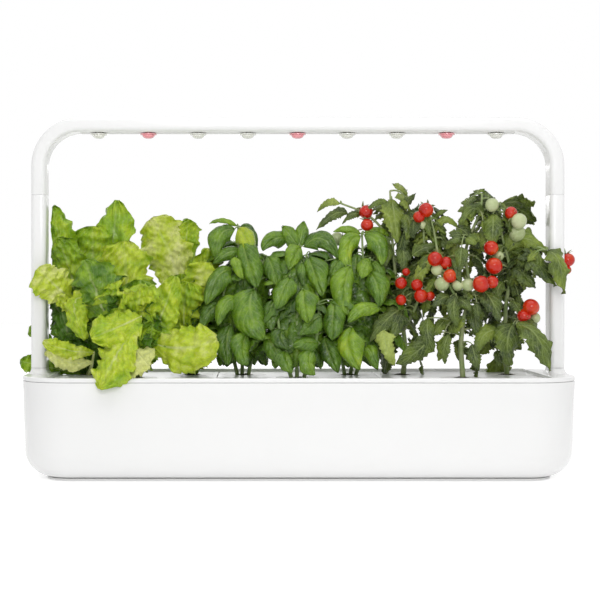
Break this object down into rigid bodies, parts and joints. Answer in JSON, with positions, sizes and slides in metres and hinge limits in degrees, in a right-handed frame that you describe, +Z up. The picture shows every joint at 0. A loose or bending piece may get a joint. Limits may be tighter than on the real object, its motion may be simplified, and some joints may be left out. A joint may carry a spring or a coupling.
{
  "type": "countertop hydroponic garden",
  "caption": "Long white countertop hydroponic garden: a water tank with lift-out trays of planted pods and a bent lamp arch on extension arms over lettuce, basil and tomato.",
  "frame": {"origin": "on the table under the middle of the tank", "axes": "+X along the tank to the right, +Y to its back, +Z up"},
  "size_m": [0.603, 0.183, 0.3986],
  "materials": {
    "white_shell": "smooth glossy white ABS",
    "white_inner": "satin white",
    "pod_plastic": "satin white",
    "foot_rubber": "matt",
    "float_plastic": "satin",
    "indicator_plastic": "satin",
    "contact_metal": "plain",
    "lens_red": "clear tinted, glossy",
    "lens_clear": "clear, glossy",
    "led_board": "white coated",
    "circuit_board": "solder mask",
    "inlet_plastic": "satin black",
    "lead_jacket": "satin",
    "lettuce_leaf": "fresh leaf",
    "basil_leaf": "glossy leaf",
    "tomato_leaf": "hairy matt leaf with red fruit"
  },
  "bodies": {
    "base": {"reservoir_tub": "white_shell", "base_plinth": "white_inner", "foot_front_left": "foot_rubber", "foot_front_right": "foot_rubber", "foot_back_left": "foot_rubber", "foot_back_right": "foot_rubber", "rim_frame": "white_shell", "socket_contact_left": "contact_metal", "socket_contact_right": "contact_metal", "dc_inlet": "inlet_plastic", "driver_board": "circuit_board", "base_lead": "lead_jacket"},
    "arm_left": {"extension_arm_left": "white_shell", "arm_plug_left": "white_inner", "arm_lead": "lead_jacket"},
    "arm_right": {"extension_arm_right": "white_shell", "arm_plug_right": "white_inner"},
    "lamp": {"lamp_arch": "white_shell", "lens_strip": "white_inner", "led_board": "led_board", "lamp_plug_left": "white_inner", "lamp_plug_right": "white_inner", "lamp_lead": "lead_jacket", "led_lens_1": "lens_clear", "led_lens_2": "lens_red", "led_lens_3": "lens_clear", "led_lens_4": "lens_clear", "led_lens_5": "lens_red", "led_lens_6": "lens_clear", "led_lens_7": "lens_clear", "led_lens_8": "lens_red", "led_lens_9": "lens_clear"},
    "tray_left": {"tray_left": "white_shell"},
    "tray_middle": {"tray_middle": "white_shell"},
    "tray_right": {"tray_right": "white_shell", "float_guide": "white_inner"},
    "float": {"water_float": "float_plastic", "float_indicator": "indicator_plastic"},
    "pod_1": {"pod_cup_1": "pod_plastic", "lettuce_1": "lettuce_leaf"},
    "pod_2": {"pod_cup_2": "pod_plastic", "lettuce_2": "lettuce_leaf"},
    "pod_3": {"pod_cup_3": "pod_plastic", "lettuce_3": "lettuce_leaf"},
    "pod_4": {"pod_cup_4": "pod_plastic", "basil_1": "basil_leaf"},
    "pod_5": {"pod_cup_5": "pod_plastic", "basil_2": "basil_leaf"},
    "pod_6": {"pod_cup_6": "pod_plastic", "basil_3": "basil_leaf"},
    "pod_7": {"pod_cup_7": "pod_plastic", "tomato_1": "tomato_leaf"},
    "pod_8": {"pod_cup_8": "pod_plastic", "tomato_2": "tomato_leaf"},
    "pod_9": {"pod_cup_9": "pod_plastic", "tomato_3": "tomato_leaf"}
  },
  "joints": [
    {"name": "arm_left_lift", "type": "slide", "parent": "base", "child": "arm_left", "axis": [0, 0, 1], "range_m": [0, 0.034]},
    {"name": "arm_right_lift", "type": "slide", "parent": "base", "child": "arm_right", "axis": [0, 0, 1], "range_m": [0, 0.034]},
    {"name": "lamp_lift", "type": "slide", "parent": "arm_left", "child": "lamp", "axis": [0, 0, 1], "range_m": [0, 0.034]},
    {"name": "tray_left_lift", "type": "slide", "parent": "base", "child": "tray_left", "axis": [0, 0, 1], "range_m": [0, 0.05]},
    {"name": "tray_middle_lift", "type": "slide", "parent": "base", "child": "tray_middle", "axis": [0, 0, 1], "range_m": [0, 0.05]},
    {"name": "tray_right_lift", "type": "slide", "parent": "base", "child": "tray_right", "axis": [0, 0, 1], "range_m": [0, 0.05]},
    {"name": "pod_1_lift", "type": "slide", "parent": "tray_left", "child": "pod_1", "axis": [0, 0, 1], "range_m": [0, 0.05]},
    {"name": "pod_2_lift", "type": "slide", "parent": "tray_left", "child": "pod_2", "axis": [0, 0, 1], "range_m": [0, 0.05]},
    {"name": "pod_3_lift", "type": "slide", "parent": "tray_left", "child": "pod_3", "axis": [0, 0, 1], "range_m": [0, 0.05]},
    {"name": "pod_4_lift", "type": "slide", "parent": "tray_middle", "child": "pod_4", "axis": [0, 0, 1], "range_m": [0, 0.05]},
    {"name": "pod_5_lift", "type": "slide", "parent": "tray_middle", "child": "pod_5", "axis": [0, 0, 1], "range_m": [0, 0.05]},
    {"name": "pod_6_lift", "type": "slide", "parent": "tray_middle", "child": "pod_6", "axis": [0, 0, 1], "range_m": [0, 0.05]},
    {"name": "pod_7_lift", "type": "slide", "parent": "tray_right", "child": "pod_7", "axis": [0, 0, 1], "range_m": [0, 0.05]},
    {"name": "pod_8_lift", "type": "slide", "parent": "tray_right", "child": "pod_8", "axis": [0, 0, 1], "range_m": [0, 0.05]},
    {"name": "pod_9_lift", "type": "slide", "parent": "tray_right", "child": "pod_9", "axis": [0, 0, 1], "range_m": [0, 0.05]},
    {"name": "float_rise", "type": "slide", "parent": "tray_right", "child": "float", "axis": [0, 0, 1], "range_m": [0, 0.045]}
  ],
  "couplings": [
    {"joint": "arm_right_lift", "follows": "arm_left_lift", "ratio": 1}
  ]
}
